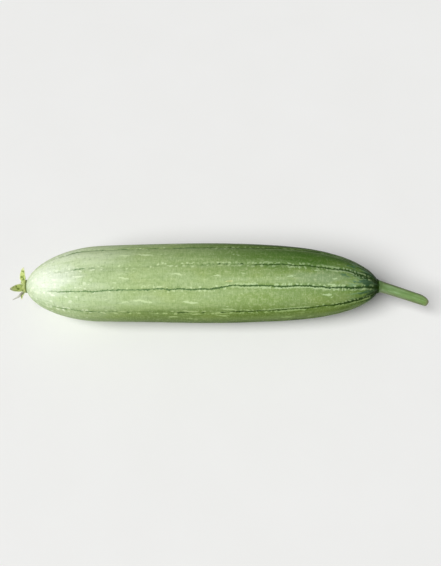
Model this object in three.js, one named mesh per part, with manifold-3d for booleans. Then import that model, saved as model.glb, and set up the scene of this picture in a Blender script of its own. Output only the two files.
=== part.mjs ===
// A sponge gourd (smooth luffa), picked and lying on its side: the fruit, the cut stem that it hung
// from, and what is left of the flower at its blossom end. Millimetres, +Z up, +X toward the stem. The
// origin is the middle of the small flat spot on which the fruit rests.
import * as THREE from "three";
import { mergeVertices } from "three/addons/utils/BufferGeometryUtils.js";
import Module from "manifold-3d";

// The fruit, measured along it from its blossom tip.
const FRUIT_LENGTH = 260;
const FRUIT_RADIUS = 29.7;
const REST_FROM_TIP = 126;
const REST_HEIGHT = 28.75; // of the fruit's middle line above what it rests on: 1 mm of skin is pressed flat
const END_RADIUS = 5.2; // of the flat ends that carry the calyx and the stem
const BLOSSOM_TAPER = 54; // length over which the blossom end rounds up to the full girth
const BLOSSOM_OVERRUN = 0.8; // how far past the tip that round end would close
const STEM_TAPER = 84.5;
const STEM_OVERRUN = 0.35;
const STEM_TAPER_POWER = 2.72; // above 2, so the shoulder keeps its girth longer than a round end
const BELLY = 0.171; // how much the girth falls off away from its widest place
const WIDEST_FROM_TIP = 119;
const BOW_SIDEWAYS = -3.1; // how far the middle line of either end lies off the straight
const BOW_UP = 0.8;
const BOW_POWER = 3; // above 2, so it bends more toward its ends

// The ten lines that run along the fruit, each in a shallow groove.
const LINES = 10;
const LINE_STEP = 360 / LINES; // degrees
const FIRST_LINE = 1; // degrees from the top, toward -Y
const LINE_TWIST = 3.5; // degrees at the blossom end, and as much the other way at the stem
const LINE_WANDER = 1.3; // degrees
const LINE_WANDER_LENGTH = 34; // along the fruit for one radian of the wander
const LINE_WANDER_LAG = 1.9; // radians from each line to the next
const GROOVE_DEPTH = 0.62;
const GROOVE_START = 35; // the grooves deepen over this length from the blossom tip

// Low bumps and hollows of a grown thing: their height, and the lengths along the fruit for one radian of
// their rise and fall and of their turn about it.
const SWELL = 0.35;
const SWELL_LENGTH = 23;
const SWELL_START = 1.3; // radians
const SWELL_TURN_LENGTH = 61;

const COLUMNS_PER_LOBE = 6;
const RINGS = 48;

const SEAT_GAP = 0.25; // clear space where the calyx and the stem meet the fruit's flat ends

// The stem: its foot is on the fruit, and its reach is how far its cut end lies from there.
const STEM_REACH = new THREE.Vector3(37, -10.4, -5);
const STEM_TURN = 1.9; // length over which it turns from the fruit's axis
const STEM_FOOT_RADIUS = 5.05;
const STEM_RADIUS = 4;
const STEM_TIP_RADIUS = 3.6;
const STEM_FLARE = 1.8; // length over which the foot narrows to the stem
const STEM_CORNERS = 5;
const STEM_CORNER_RISE = 0.05; // share of the radius
const STEM_SIDES = 20;
const STEM_STEPS = 16;
const STEM_STEP_POWER = 1.3; // above 1, so the steps are shorter at the foot
const STEM_RIM = 1.6; // radius of the worn edge round the cut
const STEM_RIM_STEPS = 3;
const WORN_LENGTH = 8; // over which the side away from -Y rounds in toward the cut
const WORN_SHARE = 0.6; // of its distance from the middle that it has come in by there
const WORN_RISE = 28; // degrees that the most worn place lies over the side straight away from -Y

// The calyx: a short cup with the style's stub in it, and five sepals on its rim.
const CUP_RADIUS = 4.95;
const CUP_HEIGHT = 3.2;
const CUP_FLOOR = 1.6;
const STYLE_RADIUS = 1.1;
const STYLE_HEIGHT = 4.6;
const CUP_SIDES = 30;
const SEPAL_THICKNESS = 0.85;
const SEPAL_ARCH = 0.3; // rise of its edges, as a share of half its width
const SEPAL_ACROSS = [-1, -0.5, 0, 0.5, 1]; // places across it, as shares of half its width
const SEPAL_STEPS = 10;
// Its outline is the part of a sine wave between these shares, made blunter by a power below 1.
const SEPAL_OUTLINE_START = 0.35;
const SEPAL_OUTLINE_END = 0.97;
const SEPAL_OUTLINE_POWER = 0.8;
const SEPAL_ROOT_RADIUS = 4.2; // inside the cup's wall
const SEPAL_ROOT_HEIGHT = 2.1;
// turn: degrees from the top, toward -Y. splay: degrees from the fruit's axis at the root. curl: what the
// tip has turned by beyond that. twist: degrees that the blade is turned about its own length at the root.
// coil: what its tip has turned by beyond that.
const SEPALS = [
  { turn: -59, splay: 74, curl: 26, twist: 58, coil: 20, length: 10.5, width: 5.6 },
  { turn: 40, splay: 20, curl: 28, twist: 4, coil: 16, length: 11, width: 6 },
  { turn: 99, splay: 62, curl: -46, twist: 20, coil: 110, length: 11, width: 1.9 },
  { turn: 160, splay: 56, curl: 20, twist: -14, coil: -30, length: 11, width: 4.8 },
  { turn: 229, splay: 46, curl: 34, twist: 6, coil: 34, length: 11, width: 5 },
];

const radians = THREE.MathUtils.degToRad;

// The direction square to the fruit's axis at a turn in degrees from the top, toward -Y.
function outward(turn) {
  return new THREE.Vector3(0, -Math.sin(radians(turn)), Math.cos(radians(turn)));
}

// A closed solid from rings of points, each with the same number of them, capped flat at both ends. Seen
// along the way from the first ring to the last, each ring runs clockwise.
function loft(rings) {
  const around = rings[0].length;
  const points = rings.flat();
  const faces = [];
  for (let i = 0; i < rings.length - 1; i++) {
    for (let j = 0; j < around; j++) {
      const a = i * around + j;
      const b = i * around + ((j + 1) % around);
      faces.push(a, b, b + around, a, b + around, a + around);
    }
  }
  for (const end of [0, rings.length - 1]) {
    const middle = new THREE.Vector3();
    rings[end].forEach((p) => middle.addScaledVector(p, 1 / around));
    points.push(middle);
    for (let j = 0; j < around; j++) {
      const a = end * around + j;
      const b = end * around + ((j + 1) % around);
      faces.push(points.length - 1, ...(end ? [a, b] : [b, a]));
    }
  }
  const geometry = new THREE.BufferGeometry().setFromPoints(points);
  geometry.setIndex(faces);
  geometry.computeVertexNormals();
  return geometry;
}

// The fruit's middle line at a distance from the blossom tip.
function middleLine(s) {
  const bow = Math.abs(s / (FRUIT_LENGTH / 2) - 1) ** BOW_POWER;
  return new THREE.Vector3(s - REST_FROM_TIP, BOW_SIDEWAYS * bow, REST_HEIGHT + BOW_UP * bow);
}

// The fruit's radius there, before grooves.
function fruitRadius(s) {
  const fromTip = Math.min(1, (s + BLOSSOM_OVERRUN) / BLOSSOM_TAPER);
  const fromStem = Math.min(1, (FRUIT_LENGTH - s + STEM_OVERRUN) / STEM_TAPER);
  const blossomEnd = Math.sqrt(1 - (1 - fromTip) ** 2);
  const stemEnd = Math.sqrt(1 - (1 - fromStem) ** STEM_TAPER_POWER);
  const belly = 1 - BELLY * ((s - WIDEST_FROM_TIP) / (FRUIT_LENGTH / 2)) ** 2;
  return Math.max(END_RADIUS, FRUIT_RADIUS * blossomEnd * stemEnd * belly);
}

// Where a line runs: its turn in degrees from the top, toward -Y.
function lineTurn(line, s) {
  const twist = LINE_TWIST * (1 - (2 * s) / FRUIT_LENGTH);
  const wander = LINE_WANDER * Math.sin(s / LINE_WANDER_LENGTH + LINE_WANDER_LAG * (line % LINES));
  return FIRST_LINE + LINE_STEP * line + twist + wander;
}

// A point of the skin: share runs from 0 on a line to 1 on the next one.
function skinPoint(s, line, share) {
  const turn = THREE.MathUtils.lerp(lineTurn(line, s), lineTurn(line + 1, s), share);
  const toLine = 1 - 2 * Math.min(share, 1 - share);
  const groove = GROOVE_DEPTH * THREE.MathUtils.smoothstep(s, 0, GROOVE_START) * toLine ** 2;
  const rise = Math.sin(s / SWELL_LENGTH + SWELL_START) * Math.cos(radians(2 * turn) + s / SWELL_TURN_LENGTH);
  const swell = (SWELL * rise * fruitRadius(s)) / FRUIT_RADIUS;
  const point = middleLine(s).addScaledVector(outward(turn), fruitRadius(s) - groove + swell);
  point.z = Math.max(0, point.z); // the flat spot
  return point;
}

function fruitGeometry() {
  const rings = [];
  for (let i = 0; i <= RINGS; i++) {
    const s = (FRUIT_LENGTH * (1 - Math.cos((Math.PI * i) / RINGS))) / 2; // closer together at the ends
    const ring = [];
    for (let line = 0; line < LINES; line++)
      for (let column = 0; column < COLUMNS_PER_LOBE; column++)
        ring.push(skinPoint(s, line, column / COLUMNS_PER_LOBE));
    rings.push(ring);
  }
  return loft(rings);
}

// The stem's middle line leaves the fruit's end squarely, turns at once toward its cut end, and is nearly
// straight from there.
class StemLine extends THREE.Curve {
  getPoint(share, point = new THREE.Vector3()) {
    const turned = (ahead) => ahead - STEM_TURN * (1 - Math.exp(-ahead / STEM_TURN));
    const aside = turned(share * STEM_REACH.x) / turned(STEM_REACH.x);
    point.set(share * STEM_REACH.x + SEAT_GAP, STEM_REACH.y * aside, STEM_REACH.z * aside);
    return point.add(middleLine(FRUIT_LENGTH));
  }
}

function stemGeometry() {
  const path = new StemLine();
  const length = path.getLength();
  const ringAt = (share, radius) => {
    const centre = path.getPointAt(share);
    const ahead = path.getTangentAt(share);
    const side = new THREE.Vector3(0, 0, 1).cross(ahead).normalize();
    const up = ahead.clone().cross(side);
    const worn = WORN_SHARE * Math.max(0, 1 - ((1 - share) * length) / WORN_LENGTH) ** 2;
    const ring = [];
    for (let j = 0; j < STEM_SIDES; j++) {
      const angle = (2 * Math.PI * j) / STEM_SIDES;
      const r = radius * (1 + STEM_CORNER_RISE * Math.cos(STEM_CORNERS * angle));
      const wornIn = worn * r * Math.max(0, Math.cos(angle - radians(WORN_RISE)));
      const across = r * Math.cos(angle) - wornIn * Math.cos(radians(WORN_RISE));
      const height = r * Math.sin(angle) - wornIn * Math.sin(radians(WORN_RISE));
      ring.push(centre.clone().addScaledVector(side, across).addScaledVector(up, height));
    }
    return ring;
  };
  const rings = [];
  for (let i = 0; i <= STEM_STEPS; i++) {
    const share = (i / STEM_STEPS) ** STEM_STEP_POWER * (1 - STEM_RIM / length);
    const flare = (STEM_FOOT_RADIUS - STEM_RADIUS) * Math.exp(-(share * length) / STEM_FLARE);
    rings.push(ringAt(share, THREE.MathUtils.lerp(STEM_RADIUS, STEM_TIP_RADIUS, share) + flare));
  }
  for (let i = 1; i <= STEM_RIM_STEPS; i++) {
    const turned = (Math.PI / 2) * (i / STEM_RIM_STEPS);
    const share = 1 - (STEM_RIM * (1 - Math.sin(turned))) / length;
    rings.push(ringAt(share, STEM_TIP_RADIUS - STEM_RIM * (1 - Math.cos(turned))));
  }
  return loft(rings);
}

// A sepal is a thin arched blade, widest a quarter of the way out, that ends in a point. It is made in
// the cup's frame, where +Z leads away from the fruit.
function sepalGeometry({ turn, splay, curl, twist, coil, length, width }) {
  const rings = [];
  const centre = new THREE.Vector3(0, SEPAL_ROOT_RADIUS, SEPAL_ROOT_HEIGHT);
  for (let i = 0; i <= SEPAL_STEPS; i++) {
    const share = i / SEPAL_STEPS;
    const lean = radians(splay + curl * share);
    const ahead = new THREE.Vector3(0, Math.sin(lean), Math.cos(lean));
    const turned = radians(twist + coil * share);
    const side = new THREE.Vector3(1, 0, 0).applyAxisAngle(ahead, turned);
    const inside = new THREE.Vector3(0, -Math.cos(lean), Math.sin(lean)).applyAxisAngle(ahead, turned);
    const along = THREE.MathUtils.lerp(SEPAL_OUTLINE_START, SEPAL_OUTLINE_END, share);
    const half = (width / 2) * Math.sin(Math.PI * along) ** SEPAL_OUTLINE_POWER;
    const point = (across, face) => {
      const rise = (face * SEPAL_THICKNESS) / 2 + half * SEPAL_ARCH * across ** 2;
      return centre.clone().addScaledVector(side, across * half).addScaledVector(inside, rise);
    };
    const innerFace = SEPAL_ACROSS.map((across) => point(across, 1));
    const outerFace = SEPAL_ACROSS.map((across) => point(across, -1));
    rings.push([...innerFace, ...outerFace.reverse()]);
    centre.addScaledVector(ahead, length / SEPAL_STEPS);
  }
  return loft(rings).rotateZ(-radians(turn));
}

// The cup and the stub that stands in it are turned as one.
function cupGeometry() {
  const outline = [
    [0, 0],
    [CUP_RADIUS - 0.35, 0],
    [CUP_RADIUS, 0.5],
    [CUP_RADIUS - 0.1, CUP_HEIGHT * 0.4],
    [CUP_RADIUS - 0.45, CUP_HEIGHT * 0.72],
    [CUP_RADIUS - 0.15, CUP_HEIGHT],
    [CUP_RADIUS - 0.75, CUP_HEIGHT + 0.1],
    [CUP_RADIUS - 1.35, CUP_HEIGHT * 0.75],
    [STYLE_RADIUS + 0.8, CUP_FLOOR],
    [STYLE_RADIUS, CUP_FLOOR + 0.5],
    [STYLE_RADIUS * 0.85, STYLE_HEIGHT - 0.8],
    [STYLE_RADIUS * 0.5, STYLE_HEIGHT],
    [0, STYLE_HEIGHT],
  ];
  const profile = outline.map(([radius, height]) => new THREE.Vector2(radius, height));
  return new THREE.LatheGeometry(profile, CUP_SIDES).rotateX(Math.PI / 2);
}

const MERGE_WITHIN = 1e-4;

const wasm = await Module();
wasm.setup();

// A closed geometry as a solid that can be joined to others.
function solidOf(geometry) {
  const bare = geometry.clone();
  bare.deleteAttribute("normal");
  bare.deleteAttribute("uv");
  const merged = mergeVertices(bare, MERGE_WITHIN);
  return new wasm.Manifold(
    new wasm.Mesh({
      numProp: 3,
      vertProperties: merged.attributes.position.array,
      triVerts: new Uint32Array(merged.index.array),
    }),
  );
}

function geometryOf(solid) {
  const mesh = solid.getMesh();
  const geometry = new THREE.BufferGeometry();
  geometry.setAttribute("position", new THREE.BufferAttribute(new Float32Array(mesh.vertProperties), 3));
  geometry.setIndex(new THREE.BufferAttribute(new Uint32Array(mesh.triVerts), 1));
  geometry.computeVertexNormals();
  return geometry;
}

function calyxGeometry() {
  const whole = SEPALS.map((sepal) => solidOf(sepalGeometry(sepal))).reduce(
    (joined, sepal) => joined.add(sepal),
    solidOf(cupGeometry()),
  );
  return geometryOf(whole);
}

function piece(name, geometry, color, roughness) {
  const material = new THREE.MeshStandardMaterial({ color, roughness, metalness: 0 });
  const mesh = new THREE.Mesh(geometry, material);
  mesh.name = name;
  return mesh;
}

const gourd = new THREE.Group();
gourd.add(piece("fruit", fruitGeometry(), 0x9cb77a, 0.45));
gourd.add(piece("stem", stemGeometry(), 0x86a568, 0.6));

// The cup's own +Z leads out of the blossom end, and its +Y stays up.
const flower = new THREE.Group();
const cupAxes = [new THREE.Vector3(0, -1, 0), new THREE.Vector3(0, 0, 1), new THREE.Vector3(-1, 0, 0)];
flower.quaternion.setFromRotationMatrix(new THREE.Matrix4().makeBasis(...cupAxes));
flower.position.copy(middleLine(0)).add(new THREE.Vector3(-SEAT_GAP, 0, 0));
flower.add(piece("calyx", calyxGeometry(), 0xaab368, 0.75));
gourd.add(flower);

export default gourd;
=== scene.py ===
# A picked sponge gourd (smooth luffa) on its side. Metres, +Z up, +X toward the stem, and the origin is the
# middle of the flat spot that the fruit rests on.
import math

import bpy
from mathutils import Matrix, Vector, noise
from mathutils.kdtree import KDTree


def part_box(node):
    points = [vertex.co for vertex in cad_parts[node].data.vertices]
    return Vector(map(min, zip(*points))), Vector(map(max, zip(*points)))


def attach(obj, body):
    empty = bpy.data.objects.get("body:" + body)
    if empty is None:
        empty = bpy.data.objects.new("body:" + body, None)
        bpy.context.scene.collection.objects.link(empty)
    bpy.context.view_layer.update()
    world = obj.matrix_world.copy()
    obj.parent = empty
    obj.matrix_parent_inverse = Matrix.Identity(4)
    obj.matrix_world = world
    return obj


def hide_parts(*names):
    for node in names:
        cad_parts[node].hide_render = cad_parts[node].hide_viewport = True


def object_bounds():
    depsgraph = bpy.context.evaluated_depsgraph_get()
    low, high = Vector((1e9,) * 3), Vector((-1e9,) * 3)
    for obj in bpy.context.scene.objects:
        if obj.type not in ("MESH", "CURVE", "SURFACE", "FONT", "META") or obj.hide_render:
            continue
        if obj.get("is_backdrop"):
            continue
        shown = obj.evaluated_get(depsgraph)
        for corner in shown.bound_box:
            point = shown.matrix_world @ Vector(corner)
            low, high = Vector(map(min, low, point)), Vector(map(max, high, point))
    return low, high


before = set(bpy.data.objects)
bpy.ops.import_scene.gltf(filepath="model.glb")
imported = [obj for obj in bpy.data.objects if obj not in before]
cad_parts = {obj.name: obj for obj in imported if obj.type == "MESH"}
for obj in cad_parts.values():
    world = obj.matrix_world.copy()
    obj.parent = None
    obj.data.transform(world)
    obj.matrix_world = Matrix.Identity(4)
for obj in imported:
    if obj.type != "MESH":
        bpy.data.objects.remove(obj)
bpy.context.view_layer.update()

# The fruit
# It grew as one piece: a thin waxy skin over spongy flesh. Ten dark lines run along it in shallow grooves,
# where the fibre bundles lie close under the skin, and the skin between two lines is a low rounded lobe. It
# is smooth to the touch, pale at the blossom end and dark round the stem.

MM = 0.001
fruit_low, fruit_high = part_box("fruit")
BLOSSOM_X = fruit_low.x
FRUIT_LENGTH = fruit_high.x - fruit_low.x
FRUIT_RADIUS = 29.7 * MM
REST_HEIGHT = 28.75 * MM
END_RADIUS = 5.2 * MM
BLOSSOM_TAPER = 54 * MM  # length over which the blossom end rounds up to the full girth
BLOSSOM_OVERRUN = 0.8 * MM  # how far past the tip that round end would close
STEM_TAPER = 84.5 * MM  # length over which the shoulder narrows to the stem
STEM_OVERRUN = 0.35 * MM  # and how far past the fruit's end it would close
STEM_TAPER_POWER = 2.72  # above 2, so the shoulder keeps its girth longer than a round end
BELLY = 0.171  # how much the girth falls off away from its widest place
WIDEST_FROM_TIP = 119 * MM
BOW_SIDEWAYS = -3.1 * MM  # how far the middle line of either end lies off the straight
BOW_UP = 0.8 * MM
BOW_POWER = 3  # above 2, so it bends more toward its ends

LINES = 10
LINE_STEP = 2 * math.pi / LINES
FIRST_LINE = math.radians(1)
LINE_TWIST = math.radians(3.5)
LINE_WANDER = math.radians(1.3)
LINE_WANDER_LENGTH = 34 * MM  # along the fruit for one radian of the wander
LINE_WANDER_LAG = 1.9  # radians from each line to the next
GROOVE_DEPTH = 0.62 * MM
GROOVE_START = 35 * MM  # the grooves deepen over this length from the blossom tip
SWELL = 0.35 * MM  # how far the girth swells and shrinks along the fruit
SWELL_LENGTH = 23 * MM  # along the fruit for one radian of the swell
SWELL_START = 1.3  # radians
SWELL_TURN_LENGTH = 61 * MM  # over which it turns half a radian round the fruit

RINGS = 64
SHARES = (0, 0.035, 0.11, 0.28, 0.5, 0.72, 0.89, 0.965)  # of the way from one line to the next
COLUMNS = LINES * len(SHARES)
CREASE_DEPTH = 0.2 * MM  # the narrow crease in which a line lies, at the bottom of its groove
CREASE_WIDTH = 0.55 * MM
LUMPS = 0.07 * MM  # small unevenness of the skin
WIDE_LUMPS = Vector((110, 260, 260))  # of them in a metre along each axis
FINE_LUMPS = Vector((420, 700, 700))
FINE_SHARE = 0.4  # of the wide ones' height
NECK_LENGTH = 15 * MM  # of the narrow end, where the skin draws into fine ribs
NECK_RIBS = 3  # between one line and the next
NECK_RIB_DEPTH = 0.13 * MM


def smooth_step(value, low, high):
    share = min(1, max(0, (value - low) / (high - low)))
    return share * share * (3 - 2 * share)


def middle_line(s):
    """The middle of the fruit at a distance from its blossom tip."""
    bow = abs(2 * s / FRUIT_LENGTH - 1) ** BOW_POWER
    return Vector((BLOSSOM_X + s, BOW_SIDEWAYS * bow, REST_HEIGHT + BOW_UP * bow))


def fruit_radius(s):
    from_tip = min(1, (s + BLOSSOM_OVERRUN) / BLOSSOM_TAPER)
    from_stem = min(1, (FRUIT_LENGTH - s + STEM_OVERRUN) / STEM_TAPER)
    blossom_end = math.sqrt(1 - (1 - from_tip) ** 2)
    stem_end = math.sqrt(1 - (1 - from_stem) ** STEM_TAPER_POWER)
    belly = 1 - BELLY * ((s - WIDEST_FROM_TIP) / (FRUIT_LENGTH / 2)) ** 2
    return max(END_RADIUS, FRUIT_RADIUS * blossom_end * stem_end * belly)


def outward(turn):
    """The direction square to the fruit's axis at a turn from the top, toward -Y."""
    return Vector((0, -math.sin(turn), math.cos(turn)))


def line_turn(line, s):
    twist = LINE_TWIST * (1 - 2 * s / FRUIT_LENGTH)
    wander = LINE_WANDER * math.sin(s / LINE_WANDER_LENGTH + LINE_WANDER_LAG * (line % LINES))
    return FIRST_LINE + LINE_STEP * line + twist + wander


def skin_place(s, line, share):
    """A place on the skin, where share is 0 on a line and 1 on the next one."""
    turn = line_turn(line, s) * (1 - share) + line_turn(line + 1, s) * share
    to_line = 1 - 2 * min(share, 1 - share)
    groove = GROOVE_DEPTH * smooth_step(s, 0, GROOVE_START) * to_line**2
    swell = SWELL * math.sin(s / SWELL_LENGTH + SWELL_START) * math.cos(2 * turn + s / SWELL_TURN_LENGTH)
    radius = fruit_radius(s) - groove + swell * fruit_radius(s) / FRUIT_RADIUS
    return middle_line(s) + outward(turn) * radius


def grow(name, sides, path, radii, turning=True):
    """Extrudes a ring of so many sides along a path and closes it. Each ring is square to the path there,
    or all are square to +X where it isn't turning."""
    bpy.ops.object.select_all(action="DESELECT")
    bpy.ops.mesh.primitive_circle_add(
        vertices=sides, radius=radii[0], location=path[0], rotation=(0, math.pi / 2, 0)
    )
    piece = bpy.context.object
    piece.name = piece.data.name = name
    bpy.ops.object.transform_apply(location=True, rotation=True, scale=True)
    bpy.ops.object.mode_set(mode="EDIT")
    bpy.ops.mesh.select_mode(type="VERT")
    bpy.ops.mesh.select_all(action="SELECT")
    yaw = pitch = 0
    for i in range(1, len(path)):
        middle = tuple(path[i])
        bpy.ops.mesh.extrude_region_move(TRANSFORM_OT_translate={"value": path[i] - path[i - 1]})
        bpy.ops.transform.resize(value=(radii[i] / radii[i - 1],) * 3, center_override=middle)
        if turning:
            ahead = path[min(i + 1, len(path) - 1)] - path[i - 1]
            new_yaw = math.atan2(ahead.y, ahead.x)
            new_pitch = math.atan2(ahead.z, math.hypot(ahead.x, ahead.y))
            bpy.ops.transform.rotate(value=yaw - new_yaw, orient_axis="Z", center_override=middle)
            bpy.ops.transform.rotate(value=new_pitch - pitch, orient_axis="Y", center_override=middle)
            yaw, pitch = new_yaw, new_pitch
    bpy.ops.mesh.select_all(action="SELECT")
    bpy.ops.mesh.fill_holes(sides=0)
    bpy.ops.mesh.normals_make_consistent(inside=False)
    bpy.ops.object.mode_set(mode="OBJECT")
    return piece


def finish_with(piece, kind, **settings):
    """Adds a modifier with its settings and applies it."""
    bpy.context.view_layer.objects.active = piece
    modifier = piece.modifiers.new(kind.title(), kind)
    for setting, value in settings.items():
        setattr(modifier, setting, value)
    bpy.ops.object.modifier_apply(modifier=modifier.name)


stations = [FRUIT_LENGTH * (1 - math.cos(math.pi * i / RINGS)) / 2 for i in range(RINGS + 1)]
fruit = grow("fruit_skin", COLUMNS, [middle_line(s) for s in stations], [fruit_radius(s) for s in stations])

# The rings' corners are drawn together along the lines, which sink into their grooves.
for vertex in fruit.data.vertices:
    ring, column = divmod(vertex.index, COLUMNS)
    line, place = divmod(column, len(SHARES))
    vertex.co = skin_place(stations[ring], line, SHARES[place])
finish_with(fruit, "SUBSURF", levels=2, render_levels=2)


def keep(piece, **kinds):
    """Adds the attributes that the paint reads, each with its kind, and gives their values."""
    for name, kind in kinds.items():
        piece.data.attributes.new(name, kind, "POINT")
    return [piece.data.attributes[name].data for name in kinds]


# The second line climbs over the side of its groove between these two stretches.
STRAYING_LINE = 1
STRAY_TURN = math.radians(-4.7)
STRAY_START = (134 * MM, 152 * MM)
STRAY_END = (205 * MM, 238 * MM)


def crease_turn(line, s):
    if line % LINES != STRAYING_LINE:
        return line_turn(line, s)
    stray = smooth_step(s, *STRAY_START) * (1 - smooth_step(s, *STRAY_END))
    return line_turn(line, s) + STRAY_TURN * stray


def line_before(s, turn):
    """The last line before a turn, and the turn's share of the way on to the next."""
    line = math.floor((turn - line_turn(0, s)) / LINE_STEP)
    if turn < crease_turn(line, s):
        line -= 1
    elif turn >= crease_turn(line + 1, s):
        line += 1
    start, end = crease_turn(line, s), crease_turn(line + 1, s)
    return line, (turn - start) / (end - start)


# Each line gets its narrow crease, the skin its small lumps, the neck its ribs, and the underside its flat
# spot. For the paint, a point keeps how far it is from its line in millimetres, with a sign that swaps from
# line to line so that it never jumps, how dark that line is, its share of the way to the mid lobe, and its
# place as if the fruit were an even cylinder along which the lines run straight.
LINE_STRENGTHS = (0.48, 1.0, 0.56, 0.9, 0.6, 0.8, 1.0, 0.65, 0.85, 0.8)
LOBE_STRENGTH = 0.75  # which they all reach halfway between two lines
line_away, line_strength, lobe_share, cylinder_place = keep(
    fruit, line_away="FLOAT", line_strength="FLOAT", lobe_share="FLOAT", cylinder_place="FLOAT_VECTOR"
)
for vertex in fruit.data.vertices:
    s = min(FRUIT_LENGTH, max(0, vertex.co.x - BLOSSOM_X))
    from_middle = vertex.co - middle_line(s)
    turn = math.atan2(-from_middle.y, from_middle.z)
    before, share = line_before(s, turn)
    line = before + round(share)
    away = (turn - crease_turn(line, s)) * fruit_radius(s)
    own_strength = LINE_STRENGTHS[line % LINES]
    crease = CREASE_DEPTH * own_strength**2 * smooth_step(s, GROOVE_START / 2, 2 * GROOVE_START)
    crease *= math.exp(-((away / CREASE_WIDTH) ** 2))
    uneven = noise.noise(vertex.co * WIDE_LUMPS) + FINE_SHARE * noise.noise(vertex.co * FINE_LUMPS)
    lumps = LUMPS * uneven * smooth_step(fruit_radius(s), END_RADIUS, 3 * END_RADIUS)
    mid_share = 1 - abs(1 - 2 * share)
    neck = smooth_step(s, FRUIT_LENGTH - NECK_LENGTH, FRUIT_LENGTH - NECK_LENGTH / 3)
    ribs = -NECK_RIB_DEPTH * neck * math.cos(math.pi * NECK_RIBS * mid_share)
    vertex.co += outward(turn) * (lumps + ribs - crease)
    vertex.co.z = max(0, vertex.co.z)
    line_away[vertex.index].value = (-1) ** line * away / MM
    line_strength[vertex.index].value = own_strength * (1 - mid_share) + LOBE_STRENGTH * mid_share
    lobe_share[vertex.index].value = mid_share
    straight = Vector((s, 0, 0)) + outward(LINE_STEP * (before + share)) * FRUIT_RADIUS
    cylinder_place[vertex.index].vector = straight / MM
bpy.ops.object.shade_smooth()


class Wire:
    """A node's output. Python's operators on it add Math nodes, so shader maths reads as maths."""

    def __init__(self, node, output=0):
        self.node = node
        self.output = output

    def also(self, output):
        """Another output of the same node."""
        return Wire(self.node, output)

    def maths(self, operation, first, second=0):
        return add_node(self.node.id_data, "Math", {"operation": operation}, {0: first, 1: second})

    def __add__(self, other):
        return self.maths("ADD", self, other)

    __radd__ = __add__

    def __sub__(self, other):
        return self.maths("SUBTRACT", self, other)

    def __rsub__(self, other):
        return self.maths("SUBTRACT", other, self)

    def __mul__(self, other):
        return self.maths("MULTIPLY", self, other)

    __rmul__ = __mul__

    def __truediv__(self, other):
        return self.maths("DIVIDE", self, other)

    def __pow__(self, other):
        return self.maths("POWER", self, other)

    def __abs__(self):
        return self.maths("ABSOLUTE", self)

    def cosine(self):
        return self.maths("COSINE", self)

    def at_least(self, other):
        return self.maths("MAXIMUM", self, other)


def add_node(tree, kind, settings, values, output=0):
    """Adds a node: its settings first, then the values or wires of its sockets. Gives one output."""
    node = tree.nodes.new("ShaderNode" + kind)
    for setting, value in settings.items():
        setattr(node, setting, value)
    for socket, value in values.items():
        if isinstance(value, Wire):
            tree.links.new(value.node.outputs[value.output], node.inputs[socket])
        else:
            node.inputs[socket].default_value = value
    return Wire(node, output)


def colour(red, green, blue):
    """A colour as seen on a screen, 0 to 255, in the linear light that a shader takes."""
    shares = [part / 255 for part in (red, green, blue)]
    return (*(s / 12.92 if s <= 0.04045 else ((s + 0.055) / 1.055) ** 2.4 for s in shares), 1)


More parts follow.
